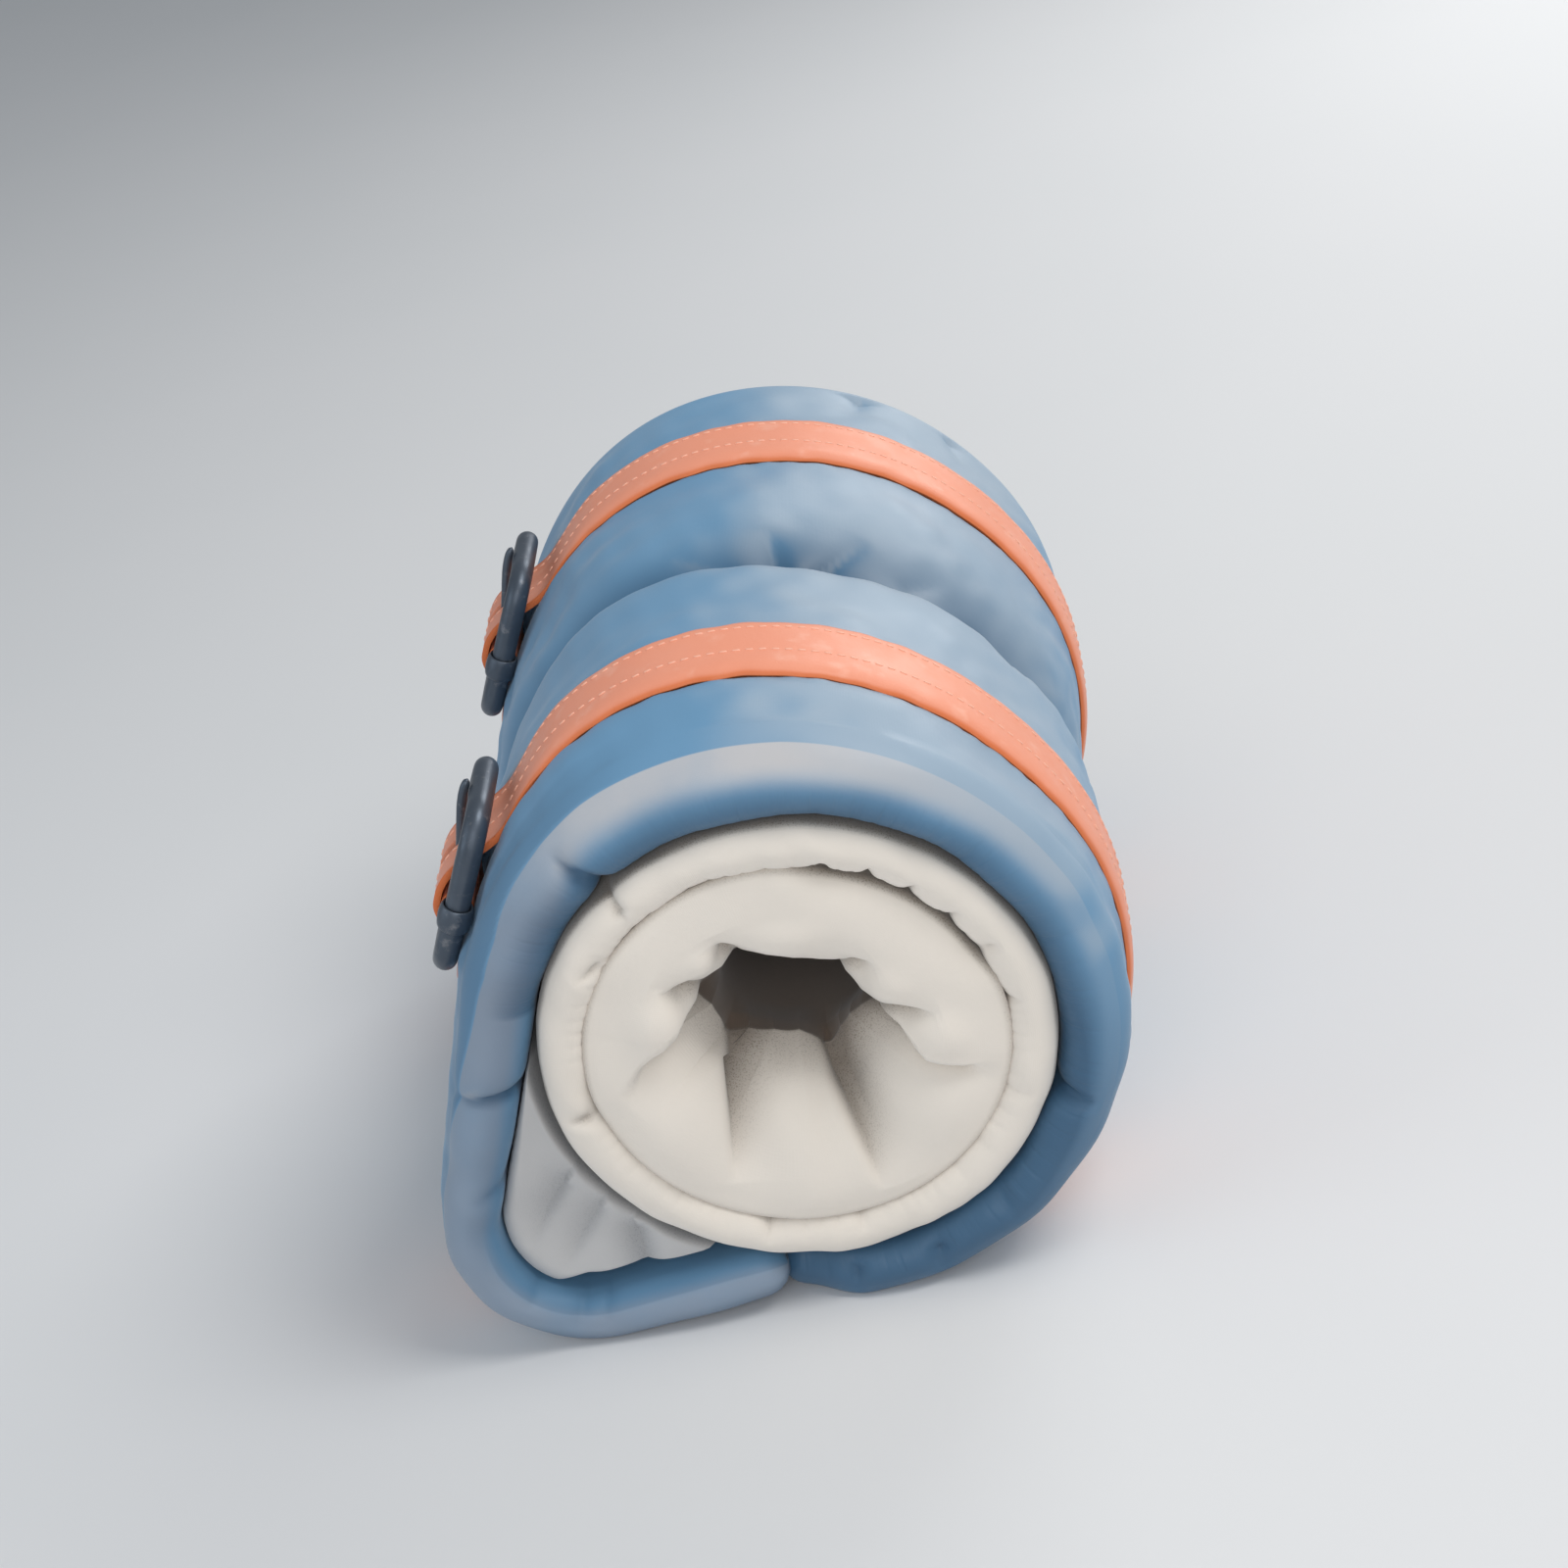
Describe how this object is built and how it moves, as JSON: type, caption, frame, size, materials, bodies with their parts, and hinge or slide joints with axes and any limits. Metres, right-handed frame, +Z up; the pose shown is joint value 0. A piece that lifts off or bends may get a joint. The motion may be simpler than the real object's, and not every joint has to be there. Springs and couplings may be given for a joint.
{
  "type": "rolled sleeping bag",
  "caption": "Padded sleeping bag rolled up with a slack loose end, held by buckled straps, with a zip round its far end and an open core",
  "frame": {"origin": "middle of the bounding box's underside, where the roll rests on the floor", "axes": "+Y along the roll's axis from the open near end to the end with the zip, +Z up, +X to the right seen from the near end, so the buckles are on the -X side"},
  "size_m": [0.3437, 0.4178, 0.3171],
  "materials": {
    "shell": "satin",
    "lining": "matte",
    "lining_shade": "matte",
    "strap": "satin",
    "buckle": "satin",
    "zip_tape": "matte",
    "zip_chain": "satin",
    "zip_metal": "satin"
  },
  "bodies": {
    "roll": {"outer_turn": "shell", "lining_outer_turn": "lining", "lining_inner_turn": "lining", "lining_bunch": "lining_shade", "strap_near": "strap", "strap_far": "strap", "zip_tape_outer": "zip_tape", "zip_tape_inner": "zip_tape", "zip_chain": "zip_chain", "zip_bottom_stop": "zip_metal", "zip_top_stop": "zip_metal"},
    "buckle_near": {"buckle_frame_near": "buckle", "buckle_bar_near": "buckle"},
    "buckle_far": {"buckle_frame_far": "buckle", "buckle_bar_far": "buckle"},
    "prong_near": {"buckle_prong_near": "buckle"},
    "prong_far": {"buckle_prong_far": "buckle"},
    "slider": {"zip_slider": "zip_metal"},
    "pull": {"zip_pull": "zip_metal"}
  },
  "joints": [
    {"name": "buckle_near_rock", "type": "hinge", "parent": "roll", "child": "buckle_near", "pos_m": [-0.12173, -0.13995, 0.229], "axis": [0, 1, 0], "range_deg": [0, 5]},
    {"name": "buckle_far_rock", "type": "hinge", "parent": "roll", "child": "buckle_far", "pos_m": [-0.12173, 0.10355, 0.229], "axis": [0, 1, 0], "range_deg": [0, 5]},
    {"name": "prong_near_lift", "type": "hinge", "parent": "buckle_near", "child": "prong_near", "pos_m": [-0.12173, -0.13995, 0.229], "axis": [0, -1, 0], "range_deg": [0, 35]},
    {"name": "prong_far_lift", "type": "hinge", "parent": "buckle_far", "child": "prong_far", "pos_m": [-0.12173, 0.10355, 0.229], "axis": [0, -1, 0], "range_deg": [0, 35]},
    {"name": "zip_slider_travel", "type": "hinge", "parent": "roll", "child": "slider", "pos_m": [0.0179, 0.20105, 0.14725], "axis": [0, -1, 0], "range_deg": [-225, 15]},
    {"name": "zip_pull_swing", "type": "hinge", "parent": "slider", "child": "pull", "pos_m": [-0.0859, 0.20685, 0.23435], "axis": [0.766, 0, -0.6428], "range_deg": [0, 165]}
  ]
}
